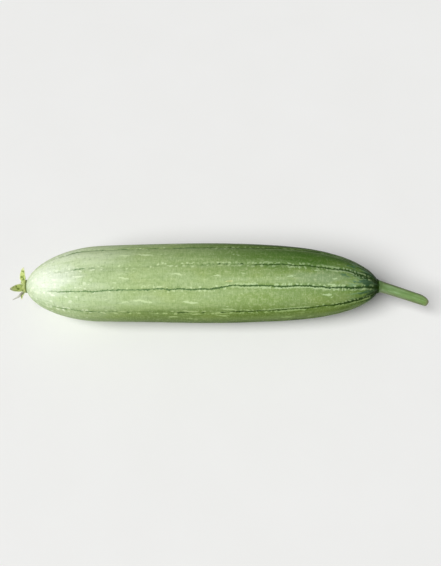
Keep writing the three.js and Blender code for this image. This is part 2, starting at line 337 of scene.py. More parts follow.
class Paint:
    """One material, whose patterns are laid out in millimetres: on the object's own coordinates, or on a
    piece's attribute that holds its straightened or flattened places."""

    def __init__(self, name, places=None):
        self.material = bpy.data.materials.new(name)
        self.material.use_nodes = True
        self.tree = self.material.node_tree
        self.tree.nodes.clear()
        if places:
            self.place = self.node("Attribute", {"attribute_name": places}, {}, "Vector")
        else:
            place = self.node("TexCoord", {}, {}, "Object")
            self.place = self.node("VectorMath", {"operation": "SCALE"}, {0: place, "Scale": 1 / MM})

    def node(self, kind, settings, values, output=0):
        return add_node(self.tree, kind, settings, values, output)

    def attribute(self, name):
        return self.node("Attribute", {"attribute_name": name}, {}, "Fac")

    def stretched(self, sizes, moved=(0, 0, 0), at=None):
        """The place, or another one, in steps of a size along each axis."""
        scale = tuple(1 / size for size in sizes)
        return self.node("Mapping", {}, {"Vector": at or self.place, "Scale": scale, "Location": moved})

    def shaken(self, place, size, by):
        """A place moved about by up to so many millimetres, in waves of a size."""
        shake = self.node("TexNoise", {}, {"Vector": place, "Scale": 1 / size, "Detail": 1}, "Color")
        centred = self.node("VectorMath", {"operation": "SUBTRACT"}, {0: shake, 1: (0.5, 0.5, 0.5)})
        shift = self.node("VectorMath", {"operation": "SCALE"}, {0: centred, "Scale": 3 * by})
        return self.node("VectorMath", {"operation": "ADD"}, {0: place, 1: shift})

    def noise(self, sizes, detail=2, roughness=0.5, **place):
        """Cloudy noise from 0 to 1, with clouds of these sizes."""
        where = self.stretched(sizes, **place)
        values = {"Vector": where, "Scale": 1, "Detail": detail, "Roughness": roughness}
        return self.node("TexNoise", {}, values)

    def cells(self, sizes, **place):
        """Distance to the middle of the nearest cell, which also has its own random colour."""
        where = self.stretched(sizes, **place)
        return self.node("TexVoronoi", {}, {"Vector": where, "Scale": 1}, "Distance")

    def chance(self, cells):
        """A random number from 0 to 1 for each cell."""
        return self.node("SeparateColor", {}, {"Color": cells.also("Color")}, "Red")

    def nearness(self, middle, sizes, at=None):
        """1 at a place and 0 from so far away along each axis on, and smooth between them."""
        away = self.node("VectorMath", {"operation": "SUBTRACT"}, {0: at or self.place, 1: middle})
        away = self.node("VectorMath", {"operation": "DIVIDE"}, {0: away, 1: sizes})
        return self.fade(self.node("VectorMath", {"operation": "LENGTH"}, {0: away}, "Value"), 1, 0)

    def fade(self, value, low, high):
        """0 up to low, 1 from high on, and smooth between them. Low may be the higher one."""
        if low > high:
            return 1 - self.fade(value, high, low)
        settings = {"interpolation_type": "SMOOTHSTEP"}
        return self.node("MapRange", settings, {"Value": value, "From Min": low, "From Max": high})

    def mix(self, factor, first, second):
        """First colour where factor is 0, second where it is 1."""
        return self.node("Mix", {"data_type": "RGBA"}, {0: factor, 6: first, 7: second}, 2)

    def tint(self, factor, painted, tint):
        """A colour multiplied by another where factor is 1."""
        settings = {"data_type": "RGBA", "blend_type": "MULTIPLY"}
        return self.node("Mix", settings, {0: factor, 6: painted, 7: tint}, 2)

    def ramp(self, value, stops):
        """Colours at places from 0 to 1, and even blends between them."""
        made = self.node("ValToRGB", {}, {"Fac": value}, "Color")
        elements = made.node.color_ramp.elements
        while len(elements) < len(stops):
            elements.new(0.5)
        for element, (place, stop) in zip(elements, stops):
            element.position = place
            element.color = stop
        return made

    def bump(self, height, distance):
        """A bump from a height from 0 to 1 that stands for a distance in metres."""
        return self.node("Bump", {}, {"Height": height, "Strength": 1, "Distance": distance}, "Normal")

    def surface(self, colour_wire, roughness, normal, **constants):
        """Ends the material in a Principled shader."""
        values = {"Base Color": colour_wire, "Roughness": roughness, "Normal": normal, **constants}
        shader = self.node("BsdfPrincipled", {}, values, "BSDF")
        self.node("OutputMaterial", {}, {"Surface": shader})
        return self.material


def skin_spot(s, turn):
    """A place on the skin in millimetres, for the paint."""
    return tuple((middle_line(s) + outward(turn) * fruit_radius(s)) / MM)


def lobe_spot(s, lines):
    """A place so many lines past the first one, on the even cylinder that the points keep."""
    return tuple((Vector((s, 0, 0)) + outward(LINE_STEP * lines) * FRUIT_RADIUS) / MM)


# Middles of the painted highlight at the blossom end and the painted sheen on a lobe, both over wax bloom.
TIP_BLOOM_AND_HIGHLIGHT = skin_spot(16 * MM, math.radians(18))
LOBE_BLOOM_AND_SHEEN = lobe_spot(218 * MM, 0.58)
DARK_LOBE = lobe_spot(252 * MM, 0.5)
SCAR = lobe_spot(149 * MM, 0.79)  # a healed scratch
DASH_SLANT = math.radians(-0.24)  # that a dash turns round the fruit in each millimetre
ROW_STEP = 3.2  # from bead to bead in a row, in millimetres
ROW_OFF = 1.4  # and from the row to its line
ROW_SHIFT = 53.7  # in steps, between the rows on either side of a line
ROW_DRIFT = 6  # in steps, so that the beads aren't evenly spaced


def skin_paint():
    """Waxy skin: pale to dark green along the fruit, with the dark lines and all its pale flecks."""
    paint = Paint("luffa_skin")
    x = paint.node("SeparateXYZ", {}, {"Vector": paint.place}, "X")
    y, z = x.also("Y"), x.also("Z")
    # All lengths below are millimetres, and along is measured from the blossom tip.
    along = x - BLOSSOM_X / MM
    cylinder = paint.node("Attribute", {"attribute_name": "cylinder_place"}, {}, "Vector")
    wavy = paint.shaken(paint.place, 5, 0.8)
    ragged = paint.shaken(wavy, 1.3, 0.38)
    patches = paint.noise((38, 11, 11), detail=3)
    # Pale at the blossom end, dark green at the stem; the lifted stop near the stem is painted light.
    ground = paint.ramp(
        along / (FRUIT_LENGTH / MM) + (patches - 0.5) * 0.09,
        [
            (0.0, colour(206, 222, 194)),
            (0.07, colour(200, 219, 180)),
            (0.17, colour(186, 206, 158)),
            (0.3, colour(170, 192, 134)),
            (0.5, colour(156, 179, 115)),
            (0.68, colour(135, 160, 92)),
            (0.82, colour(120, 147, 78)),
            (0.91, colour(124, 152, 82)),
            (0.96, colour(112, 142, 74)),
            (1.0, colour(74, 102, 60)),
        ],
    )
    # Painted light brightens the far side at the blossom end. Toward the stem the far side is a deeper green,
    # partly its own colour and partly painted shade. The near side is more olive, partly painted shade, and
    # painted shade darkens the underside.
    painted_crown_light = paint.fade(along, 85, 30) * paint.fade(y, -8, 5)
    ground = paint.mix(painted_crown_light * 0.8, ground, colour(228, 242, 204))
    deep_green_and_shade = paint.fade(y + (patches - 0.5) * 16, -11, 7) * paint.fade(along, 60, 215)
    ground = paint.mix(deep_green_and_shade * 0.92, ground, colour(52, 94, 12))
    clean = 1 - deep_green_and_shade * 0.85
    olive_and_shade = paint.fade(z + (patches - 0.5) * 9, 46, 34) * paint.fade(along, 20, 100)
    ground = paint.mix(olive_and_shade * 0.5, ground, colour(104, 128, 56))
    underside_shade = paint.fade(z + (patches - 0.5) * 8, 38, 22)
    underside_shade = underside_shade * (0.22 + paint.fade(along, 30, 100) * 0.2 + paint.fade(along, 110, 240) * 0.4)
    ground = paint.mix(underside_shade, ground, colour(80, 104, 42))
    # Wide bands, streaks and cloudy patches of deeper and yellower green.
    bands = paint.noise((120, 8, 8), detail=2, moved=(5, 5, 2), at=cylinder)
    ground = paint.mix(paint.fade(bands, 0.5, 0.7) * 0.34 * clean, ground, colour(178, 200, 148))
    ground = paint.mix(paint.fade(bands, 0.5, 0.32) * 0.3, ground, colour(118, 144, 66))
    streaks = paint.noise((46, 3, 3), detail=3, at=cylinder)
    ground = paint.mix(paint.fade(streaks, 0.48, 0.76) * 0.24, ground, colour(120, 148, 82))
    clouds = paint.noise((24, 14, 14), detail=2, moved=(3, 7, 1))
    ground = paint.mix(paint.fade(clouds, 0.5, 0.72) * 0.24 * clean, ground, colour(164, 180, 106))
    # The wax bloom greys the green. It is thickest at the blossom end, where a painted highlight whitens it,
    # and on one lobe near the stem, where it is partly a painted sheen.
    bloom = paint.noise((26, 7, 7), detail=4, moved=(11, 2, 5))
    tip_bloom_and_highlight = paint.nearness(TIP_BLOOM_AND_HIGHLIGHT, (44, 19, 21)) * 0.8
    thick_bloom_and_light = tip_bloom_and_highlight + paint.nearness(LOBE_BLOOM_AND_SHEEN, (64, 12, 12), at=cylinder) * 0.52
    bloom_and_painted_light_share = paint.fade(bloom + thick_bloom_and_light * 0.4, 0.42, 0.68) * (0.16 * clean + thick_bloom_and_light * 0.8)
    bloom_and_light_colour = paint.mix(paint.fade(along, 20, 150), colour(239, 245, 231), colour(150, 172, 136))
    ground = paint.mix(bloom_and_painted_light_share, ground, bloom_and_light_colour)
    mottle = paint.noise((2.6, 1.7, 1.7), detail=3, roughness=0.62, moved=(7, 3, 6))
    even = 1 - deep_green_and_shade.at_least(paint.fade(along, 200, 250) * 0.6) * 0.7
    bare = 1 - tip_bloom_and_highlight * 0.7
    ground = paint.mix(paint.fade(mottle, 0.5, 0.72) * 0.4 * even, ground, colour(196, 212, 160))
    ground = paint.mix(paint.fade(mottle, 0.47, 0.28) * 0.36 * bare, ground, colour(106, 134, 72))
    # Fine ticks and grain, drawn out round the fruit, and fibres that show faintly through the skin.
    ticks = paint.noise((1, 4.2, 4.2), detail=1, moved=(6, 5, 4))
    grain = paint.noise((0.45, 1.1, 1.1), detail=2)
    fibres = paint.noise((8, 0.6, 0.6), detail=2, moved=(4, 9, 2), at=cylinder)
    ground = paint.mix(paint.fade(ticks, 0.5, 0.75) * 0.2 * even, ground, colour(206, 222, 172))
    ground = paint.mix(paint.fade(ticks, 0.5, 0.25) * 0.2 * bare, ground, colour(104, 132, 72))
    ground = paint.mix(paint.fade(grain, 0.5, 0.8) * 0.3 * even, ground, colour(206, 222, 172))
    ground = paint.mix(paint.fade(grain, 0.46, 0.22) * 0.26 * bare, ground, colour(104, 132, 72))
    ground = paint.mix(paint.fade(fibres, 0.52, 0.8) * 0.22, ground, colour(116, 144, 82))

    # The lines, jagged and broken here and there, that start near the blossom end and thicken to the stem.
    strength = paint.attribute("line_strength")
    jag = (paint.noise((1.6, 1.6, 1.6), detail=3, roughness=0.7) - 0.5) * 2.3
    sway = (paint.noise((11, 9, 9), detail=1) - 0.5) * 2.6
    signed_off = paint.attribute("line_away") + jag + sway
    off = abs(signed_off)
    thick = 0.18 + 0.28 * strength + paint.fade(along, 60, 245) * 0.2
    near_stem = paint.fade(along, 220, 248)
    thick = thick + near_stem * (2.4 - 2.2 * strength)
    thick = thick + (paint.noise((3, 3, 3), detail=2, moved=(5, 1, 9)) - 0.5) * (0.9 + near_stem * 0.8)
    gaps = paint.noise((5, 6, 6), detail=2, moved=(9, 4, 2))
    whole = paint.fade(along, 90, 200) * 0.34 + paint.fade(along, 80, 50) * 0.2
    unbroken = paint.fade(gaps + strength * 0.8 + whole, 1.02, 1.14)
    started = paint.fade(along + (patches - 0.5) * 30, 16, 34)
    line = paint.fade((thick - off) / 0.5 + 0.5, 0.1, 0.9) * unbroken * started
    # Close to the stem the fainter lines spread into dark mottled bands.
    spread = paint.noise((4, 2, 2), detail=3, moved=(7, 7, 2), at=cylinder)
    spread = paint.fade(off + (spread - 0.5) * 6, 2.8, 2.2) * paint.fade(along, 232, 245)
    line = line.at_least(spread * paint.fade(strength, 0.95, 0.6) * 0.85)
    halo = paint.fade(off, 3.6, 0.4) * started * (0.12 + 0.22 * paint.fade(along, 120, 230) + near_stem * 0.3)
    ground = paint.mix(halo, ground, paint.mix(near_stem, colour(96, 130, 62), colour(66, 108, 60)))
    line_colour = paint.mix(paint.fade(along, 50, 170), colour(100, 132, 82), colour(66, 96, 50))
    line_colour = paint.mix(paint.fade(along, 160, 240), line_colour, colour(48, 78, 38))
    line_colour = paint.mix(deep_green_and_shade.at_least(olive_and_shade) * 0.6, line_colour, colour(54, 78, 20))

    # Dark streaks run together round the stem, with painted glints of light between them, and painted shade
    # darkens the neck in the hollows between its ribs.
    end_streaks = paint.noise((8, 3.4, 3.4), detail=4, moved=(2, 8, 3), at=cylinder)
    dark_lobe = paint.nearness(DARK_LOBE, (30, 10, 10), at=cylinder)
    dark_end = paint.fade(end_streaks + paint.fade(along, 242, 264) * 0.5 + dark_lobe * 0.27, 0.6, 0.68)
    dark_end = dark_end * paint.fade(along, 218, 238)
    end_colour = paint.mix(paint.fade(along, 236, 256), colour(66, 108, 84), colour(50, 82, 66))
    ground = paint.mix(dark_end * 0.8, ground, end_colour)
    painted_glints = paint.noise((9, 1.3, 1.3), detail=2, moved=(3, 3, 8), at=cylinder)
    painted_glints = paint.fade(painted_glints, 0.54, 0.64) * paint.fade(along, 230, 242)
    ground = paint.mix(painted_glints * 0.66, ground, colour(140, 176, 140))
    ground = paint.mix(paint.fade(along, 254, 260) * 0.5, ground, colour(42, 68, 62))
    ribs = (paint.attribute("lobe_share") * (math.pi * NECK_RIBS)).cosine()
    rib_hollow_shade = paint.fade(ribs + (end_streaks - 0.5) * 2, -0.4, 0.7) * paint.fade(along, 251, 258)
    ground = paint.mix(rib_hollow_shade * 0.5, ground, colour(38, 62, 56))

    # Pale beads flank the lines, more of them along faint ones and, toward the stem, along the strongest.
    bead_cells = paint.cells((2.9, 2.9, 2.9), at=ragged)
    cluster = paint.noise((13, 9, 9), detail=1, moved=(1, 3, 12))
    beside = paint.fade(off, 0.3, 0.7) * paint.fade(off, 2.6, 1.5)
    dense = paint.fade(strength, 0.8, 0.5) * 0.2
    dense = dense + paint.fade(strength, 0.8, 1) * paint.fade(along, 140, 200) * 0.4 + near_stem * 0.2
    bead_odds = paint.chance(bead_cells) + (cluster - 0.5) * 1.3 + dense + paint.fade(along, 170, 210) * 0.16
    beads = paint.fade(bead_cells, 0.5, 0.22) * beside * paint.fade(bead_odds, 0.34, 0.44)
    # Toward the stem, more and more of them stand in a row along each side of a line.
    side = paint.fade(signed_off, -0.05, 0.05)
    row_along = {"W": along / ROW_STEP + side * ROW_SHIFT + patches * ROW_DRIFT, "Scale": 1}
    row_cells = paint.node("TexVoronoi", {"voronoi_dimensions": "1D"}, row_along, "Distance")
    row_away = ((row_cells * ROW_STEP) ** 2 + (off - ROW_OFF) ** 2) ** 0.5 + (grain - 0.5) * 0.8
    row_odds = paint.chance(row_cells) + (cluster - 0.5) * 1.4
    row = paint.fade(row_away, 1.15, 0.6) * paint.fade(row_odds, 0.4, 0.46)
    beads = beads.at_least(row * paint.fade(along, 70, 200) * (0.86 - paint.fade(along, 238, 248) * 0.4))
    # There, long pale strips also lie close along the lines, more of them on one side.
    richer = (1 - side) * paint.fade(along, 110, 190)
    strip_cells = paint.cells((19, 6, 6), moved=(4, 6, 9), at=cylinder)
    strip_odds = paint.chance(strip_cells) + richer * 0.3
    strips = paint.fade(off, 0.5, 0.8) * paint.fade(off, 2.1, 1.5) * paint.fade(along, 110, 190)
    strips = strips * paint.fade(strip_odds, 0.7, 0.72) * paint.fade(grain, 0.2, 0.5)

    # Ragged pale dashes lie between the lines: long ones, shorter ones and clusters of flecks.
    spin = {"Vector": ragged, "Center": (0, 0, REST_HEIGHT / MM), "Angle": along * DASH_SLANT}
    slanting = paint.node("VectorRotate", {"rotation_type": "X_AXIS"}, spin)
    long_cells = paint.cells((34, 5.2, 5.2), moved=(2, 9, 5), at=slanting)
    long_odds = paint.chance(long_cells) + paint.fade(along, 90, 40) * 0.25
    long_dashes = paint.fade(long_cells, 0.21, 0.12) * paint.fade(long_odds, 0.5, 0.52)
    dash_cells = paint.cells((17, 2.8, 2.8), moved=(6, 2, 4), at=ragged)
    dashes = paint.fade(dash_cells, 0.3, 0.17) * paint.fade(paint.chance(dash_cells), 0.88, 0.9)
    dashes = dashes.at_least(long_dashes)
    fleck_cells = paint.cells((6.4, 1.9, 1.9), moved=(1, 7, 3), at=ragged)
    fleck_odds = paint.chance(fleck_cells) + (cluster - 0.5) * 1.2
    flecks = paint.fade(fleck_cells, 0.3, 0.18) * paint.fade(fleck_odds, 1.04, 1.09)

    # Round pale dots crowd the blossom end, and fine pores cover it all.
    dot_cells = paint.cells((5, 3.8, 3.8), moved=(8, 8, 1), at=wavy)
    dot_odds = paint.chance(dot_cells) + paint.fade(along, 66, 10) * 0.6
    dots = paint.fade(dot_cells, 0.4, 0.12) * paint.fade(dot_odds, 1, 1.08)
    pore_cells = paint.cells((1.7, 1.3, 1.3), moved=(2, 5, 8))
    pores = paint.fade(pore_cells, 0.3, 0.14) * paint.fade(paint.chance(pore_cells), 0.6, 0.7)

    pale = paint.mix(paint.fade(along, 10, 80), colour(242, 250, 228), colour(206, 225, 172))
    pale = paint.mix(paint.fade(along, 110, 200), pale, colour(190, 214, 162))
    painted = paint.mix(pores * 0.22 * even, ground, pale)
    painted = paint.mix(line * 0.94, painted, line_colour)
    marks = (dashes * 0.8).at_least(flecks * 0.66).at_least(dots * 0.6) * (1 - paint.fade(along, 243, 255))
    marks = marks.at_least((beads * 0.8).at_least(strips * 0.7) * (1 - paint.fade(along, 251, 257)))
    painted = paint.mix(marks * (1 - deep_green_and_shade * 0.6), painted, pale)
    scar = paint.nearness(SCAR, (4, 0.9, 0.9), at=paint.shaken(cylinder, 2, 0.4))
    painted = paint.mix(paint.fade(scar, 0.05, 0.3) * 0.7, painted, colour(208, 214, 150))
    painted = paint.mix(paint.fade(scar, 0.5, 0.75) * 0.6, painted, colour(122, 134, 80))
    # Painted shade darkens it below, along the bottom edge, and on the far side and its upper flank.
    below_shade_share = 0.36 + 0.44 * paint.fade(along, 30, 90) + 0.2 * paint.fade(along, 110, 180)
    below = paint.fade(z, 48, 34) * below_shade_share
    far = paint.fade(y, 8, 24) * paint.fade(along, 90, 200)
    painted = paint.tint(below.at_least(far), painted, colour(204, 211, 174))
    flank = paint.fade(y, 16, 23) * paint.fade(z, 28, 38) * paint.fade(along, 110, 200)
    low_edge = paint.fade(z, 27, 17) * paint.fade(along, 50, 120)
    painted = paint.tint(low_edge.at_least(flank), painted, colour(204, 216, 166))

    rough = 0.44 + (bloom - 0.5) * 0.2 + marks * 0.12 - line * 0.06 + (grain - 0.5) * 0.14
    height = 0.5 + grain * 0.2 + marks * 0.25 - line * 0.4 + (mottle - 0.5) * 0.3 + (fibres - 0.5) * 0.2
    normal = paint.bump(height, 0.12 * MM)
    return paint.surface(painted, rough, normal, **{"Specular IOR Level": 0.03})


fruit.data.materials.append(skin_paint())
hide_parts("fruit")
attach(fruit, "root")

# The stem
# The stalk that the fruit hung from, soft and green, five-angled and faintly ribbed. It flares a little
# where it grows out of the fruit, bends at once, and ends in a clean cut that has begun to dry.

STEM_REACH = Vector((37, -10.4, -5)) * MM  # from the middle of its foot to the middle of its cut
STEM_TURN = 1.9 * MM  # length over which it turns from the fruit's axis
STEM_FOOT_RADIUS = 5.05 * MM
STEM_RADIUS = 4 * MM
STEM_TIP_RADIUS = 3.6 * MM
STEM_FLARE = 1.8 * MM  # length over which the foot narrows to the stem
STEM_CORNERS = 5
STEM_CORNER_RISE = 0.05  # as a share of the radius
STEM_RIB_RISE = 0.012  # of fine ribs, three to a corner
STEM_SIDES = 60
STEM_STEPS = 36
STEM_RIM = 1.6 * MM  # radius of the worn edge round the cut
RIM_ANGLES = (22, 45, 68, 90)  # degrees of the steps round it
CUT_DEPTH = 0.22 * MM  # of the pith, which has shrunk as it dried
# Each step of the cut face toward its middle: how many millimetres inward, and its share of that depth.
CUT_STEPS = ((0.2, 0), (0.3, 0.3), (0.5, 0.4), (0.5, 0.3))
CUT_FALL = 0.8 * MM  # how far the cut's far edge lies back
WORN_LENGTH = 8 * MM  # over which the far side rounds in toward the cut
WORN_SHARE = 0.6  # of its distance from the middle that it has come in by there
WORN_RISE = math.radians(28)  # of the most worn place, over the side straight away from -Y

foot = middle_line(FRUIT_LENGTH)


def stem_middle(ahead):
    """The middle of the stem at a distance from its foot along +X."""
    def turned(reach):
        return reach - STEM_TURN * (1 - math.exp(-reach / STEM_TURN))

    aside = turned(ahead) / turned(STEM_REACH.x)
    return foot + Vector((ahead, STEM_REACH.y * aside, STEM_REACH.z * aside))


stem_ahead = (stem_middle(STEM_REACH.x) - stem_middle(STEM_REACH.x / 2)).normalized()
rim_ahead = STEM_REACH.x - STEM_RIM * stem_ahead.x
stem_path = [stem_middle(rim_ahead * i / STEM_STEPS) for i in range(STEM_STEPS + 1)]
stem_runs = [0]
for before, after in zip(stem_path, stem_path[1:]):
    stem_runs.append(stem_runs[-1] + (after - before).length)
STEM_LENGTH = stem_runs[-1] + STEM_RIM
stem_radii = []
for run in stem_runs:
    flare = (STEM_FOOT_RADIUS - STEM_RADIUS) * math.exp(-run / STEM_FLARE)
    stem_radii.append(STEM_RADIUS + (STEM_TIP_RADIUS - STEM_RADIUS) * run / STEM_LENGTH + flare)

# The edge round the cut is a quarter circle.
rim_start = stem_path[-1].copy()
for angle in map(math.radians, RIM_ANGLES):
    stem_path.append(rim_start + stem_ahead * STEM_RIM * math.sin(angle))
    stem_radii.append(STEM_TIP_RADIUS - STEM_RIM * (1 - math.cos(angle)))
stem = grow("stem_stalk", STEM_SIDES, stem_path, stem_radii)

for vertex in stem.data.vertices:
    ring, column = divmod(vertex.index, STEM_SIDES)
    angle = 2 * math.pi * column / STEM_SIDES
    corner = STEM_CORNER_RISE * math.cos(STEM_CORNERS * angle)
    rib = STEM_RIB_RISE * math.cos(3 * STEM_CORNERS * angle)
    vertex.co += (vertex.co - stem_path[ring]) * (corner + rib)

# The cut face steps down from its rim to the pith.
for face in stem.data.polygons:
    face.select = len(face.vertices) == STEM_SIDES and face.center.x > foot.x + STEM_REACH.x / 2
bpy.ops.object.mode_set(mode="EDIT")
bpy.ops.mesh.select_mode(type="FACE")
for width, drop in CUT_STEPS:
    bpy.ops.mesh.inset(thickness=width * MM)
    bpy.ops.transform.translate(value=-stem_ahead * CUT_DEPTH * drop)
bpy.ops.mesh.poke()
bpy.ops.mesh.select_all(action="DESELECT")
bpy.ops.object.mode_set(mode="OBJECT")
finish_with(stem, "SUBSURF", levels=1, render_levels=1)


def along_stem(place):
    """How far along the stem a place is, and how far it is off its middle, sideways and upward."""
    def squared_gap(k):
        return (place - stem_path[k]).length_squared

    near = min(range(STEM_STEPS), key=squared_gap)
    ahead = (stem_path[min(near + 1, STEM_STEPS - 1)] - stem_path[max(near - 1, 0)]).normalized()
    side = Vector((0, 0, 1)).cross(ahead).normalized()
    gap = place - stem_path[near]
    return Vector((stem_runs[near] + gap.dot(ahead), gap.dot(side), gap.dot(ahead.cross(side))))


# For the paint, a point keeps its place on the stem as if the stem were straight and cut square, in
# millimetres. Then its far side is worn round toward the cut.
(straight_place,) = keep(stem, straight_place="FLOAT_VECTOR")
stem_side = Vector((0, 0, 1)).cross(stem_ahead).normalized()
far_way = stem_side * math.cos(WORN_RISE) + stem_ahead.cross(stem_side) * math.sin(WORN_RISE)
for vertex in stem.data.vertices:
    run, side, up = along_stem(vertex.co)
    straight_place[vertex.index].vector = Vector((run, side, up)) / MM
    off_far = max(0, side * math.cos(WORN_RISE) + up * math.sin(WORN_RISE))
    worn = max(0, 1 - (STEM_LENGTH - run) / WORN_LENGTH) ** 2
    vertex.co -= far_way * off_far * WORN_SHARE * worn
    vertex.co -= stem_ahead * CUT_FALL * worn * off_far / STEM_TIP_RADIUS
bpy.ops.object.shade_smooth()


def stalk_paint():
    """Soft green stalk with pale lengthwise streaks, and a drying cut face with its ring of bundles."""
    paint = Paint("luffa_stalk", "straight_place")
    run = paint.node("SeparateXYZ", {}, {"Vector": paint.place}, "X")
    side, up = run.also("Y"), run.also("Z")
    middle_away = (side**2 + up**2) ** 0.5
    to_cut = STEM_LENGTH / MM - run
    green = paint.ramp(
        run / (STEM_LENGTH / MM),
        [
            (0.0, colour(92, 120, 70)),
            (0.05, colour(96, 124, 72)),
            (0.2, colour(106, 136, 80)),
            (0.35, colour(113, 144, 85)),
            (0.6, colour(112, 143, 82)),
            (0.85, colour(109, 140, 74)),
            (0.97, colour(104, 130, 62)),
        ],
    )
    streaks = paint.noise((8, 1.5, 1.5), detail=3)
    fine = paint.noise((9, 0.28, 0.28), detail=2, moved=(3, 1, 5))
    clouds = paint.noise((5, 2.4, 2.4), detail=3, moved=(8, 2, 2))
    green = paint.mix(paint.fade(streaks, 0.5, 0.7) * 0.5, green, colour(150, 178, 134))
    green = paint.mix(paint.fade(streaks, 0.46, 0.3) * 0.5, green, colour(78, 112, 52))
    green = paint.mix(paint.fade(fine, 0.5, 0.8) * 0.25, green, colour(72, 104, 50))
    green = paint.mix(paint.fade(clouds, 0.5, 0.7) * 0.3, green, colour(138, 162, 116))
    speck_cells = paint.cells((2.6, 0.8, 0.8))
    specks = paint.fade(speck_cells, 0.3, 0.16) * paint.fade(paint.chance(speck_cells), 0.8, 0.86)
    green = paint.mix(specks * 0.4, green, colour(172, 190, 142))
    edge = side * math.cos(WORN_RISE) + up * math.sin(WORN_RISE)
    # Painted shade, tinted brown, darkens the stalk's two opposite sides.
    side_shade = paint.fade(abs(edge) + (clouds - 0.5) * 1.6, 1.8, 3.5) * paint.fade(run, 0.5, 4)
    green = paint.mix(side_shade * paint.fade(to_cut, 2, 5) * 0.6, green, colour(94, 100, 58))

    # The foot is a deeper green, with a dark ring where it has narrowed to the stem.
    collar = paint.fade(abs(run + (clouds - 0.5) * 0.8 - 1.8), 0.6, 0.15)
    green = paint.mix(collar * 0.4, green, colour(80, 92, 50))
    green = paint.mix(paint.fade(run, 1.8, 0.5) * 0.6, green, colour(84, 110, 62))

    cut = paint.ramp(
        middle_away / (STEM_TIP_RADIUS / MM) + (clouds - 0.5) * 0.1,
        [
            (0.0, colour(204, 204, 164)),
            (0.35, colour(190, 194, 146)),
            (0.55, colour(160, 170, 112)),
            (0.68, colour(146, 158, 100)),
            (0.78, colour(122, 116, 88)),
            (1.0, colour(118, 116, 90)),
        ],
    )
    bundle_cells = paint.cells((40, 1.25, 1.25))
    bundles = paint.fade(bundle_cells, 0.36, 0.2) * paint.fade(abs(middle_away - 2.1), 0.8, 0.4)
    cut = paint.mix(bundles * 0.7, cut, colour(112, 118, 70))
    on_cut = paint.fade(to_cut - (clouds - 0.5) * 0.7, 1.5, 0.8)
    painted = paint.mix(on_cut, green, cut)
    far_dried = paint.fade(edge + (clouds - 0.5) * 2, 1, 3) * paint.fade(to_cut, 6, 2)
    dried = far_dried.at_least(paint.fade(to_cut - (clouds - 0.5) * 2, 3.4, 1.6) * 0.6)
    painted = paint.mix(dried * 0.75, painted, colour(112, 116, 84))

    rough = 0.5 + (clouds - 0.5) * 0.16 + on_cut * 0.25
    height = 0.5 + (streaks - 0.5) * 0.6 + (fine - 0.5) * 0.5 + specks * 0.15 - bundles * on_cut * 0.3
    return paint.surface(painted, rough, paint.bump(height, 0.1 * MM), **{"Specular IOR Level": 0.35})


stem.data.materials.append(stalk_paint())
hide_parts("stem")
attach(stem, "root")

# The calyx
# What is left of the flower: a short cup round the stub of the style, with five leafy sepals on its rim.
# They have begun to dry, twist and curl, and one has shrivelled to a pale ribbon.

CUP_SIDES = 40
CUP_RADIUS = 4.95 * MM
CUP_HEIGHT = 3.2 * MM
CUP_FLOOR = 1.6 * MM
CUP_SUNK = 0.3 * MM  # how far it reaches into the fruit
CUP_RIBS = 10
CUP_RIB_RISE = 0.12 * MM
STYLE_RADIUS = 1.1 * MM
STYLE_HEIGHT = 4.6 * MM
SEPAL_THICKNESS = 0.42 * MM
SEPAL_ARCH = 0.3  # rise of its edges, as a share of half its width
SEPAL_ROOT_RADIUS = 4.2 * MM
SEPAL_ROOT_HEIGHT = 2.1 * MM
# turn: degrees from the top, toward -Y. splay: degrees from the fruit's axis at the root. curl: what the tip
# has turned by beyond that. twist: degrees that the blade is turned about its own length at the root. coil:
# what its tip has turned by beyond that.
SEPALS = (
    {"turn": -59, "splay": 74, "curl": 26, "twist": 58, "coil": 20, "length": 10.5 * MM, "width": 5.6 * MM},
    {"turn": 40, "splay": 20, "curl": 28, "twist": 4, "coil": 16, "length": 11 * MM, "width": 6 * MM},
    {"turn": 99, "splay": 62, "curl": -46, "twist": 20, "coil": 110, "length": 11 * MM, "width": 1.9 * MM},
    {"turn": 160, "splay": 56, "curl": 20, "twist": -14, "coil": -30, "length": 11 * MM, "width": 4.8 * MM},
    {"turn": 229, "splay": 46, "curl": 34, "twist": 6, "coil": 34, "length": 11 * MM, "width": 5 * MM},
)
SHRIVELLED = 2
SEPAL_COLUMNS = 12
SEPAL_STEPS = 26
SEPAL_WIDTHS = (0.35, 0.645)  # where on a sine its outline starts, and how far on it runs
SEPAL_WIDTH_POWER = 0.8
SEPAL_SUNK = 0.9 * MM  # how much of each runs inside the cup's wall
SEPAL_HOOK = math.radians(34)  # of the dried tip
CRINKLE = 0.2 * MM
CRINKLES = 900  # in a metre
EDGE_WAVE = 0.3 * MM
EDGE_WAVE_TURN = 11  # radians from root to tip
MIDRIB = 0.14 * MM
MIDRIB_WIDTH = 0.14  # as a share of half the blade's width
CUP_DIP = 0.45  # of the cup's rim between two sepals, as a share of its height
CUP_DIP_SPAN = (math.radians(34), math.radians(10))  # from a sepal's middle: where it is deepest and starts
SKIN_SIZE = 0.13 * MM  # of the faces that fuse cup and sepals
SKIN_SMOOTHING = 4
BLENDED_PLACES = 4  # the nearest ones, whose values a point of that skin takes the mean of

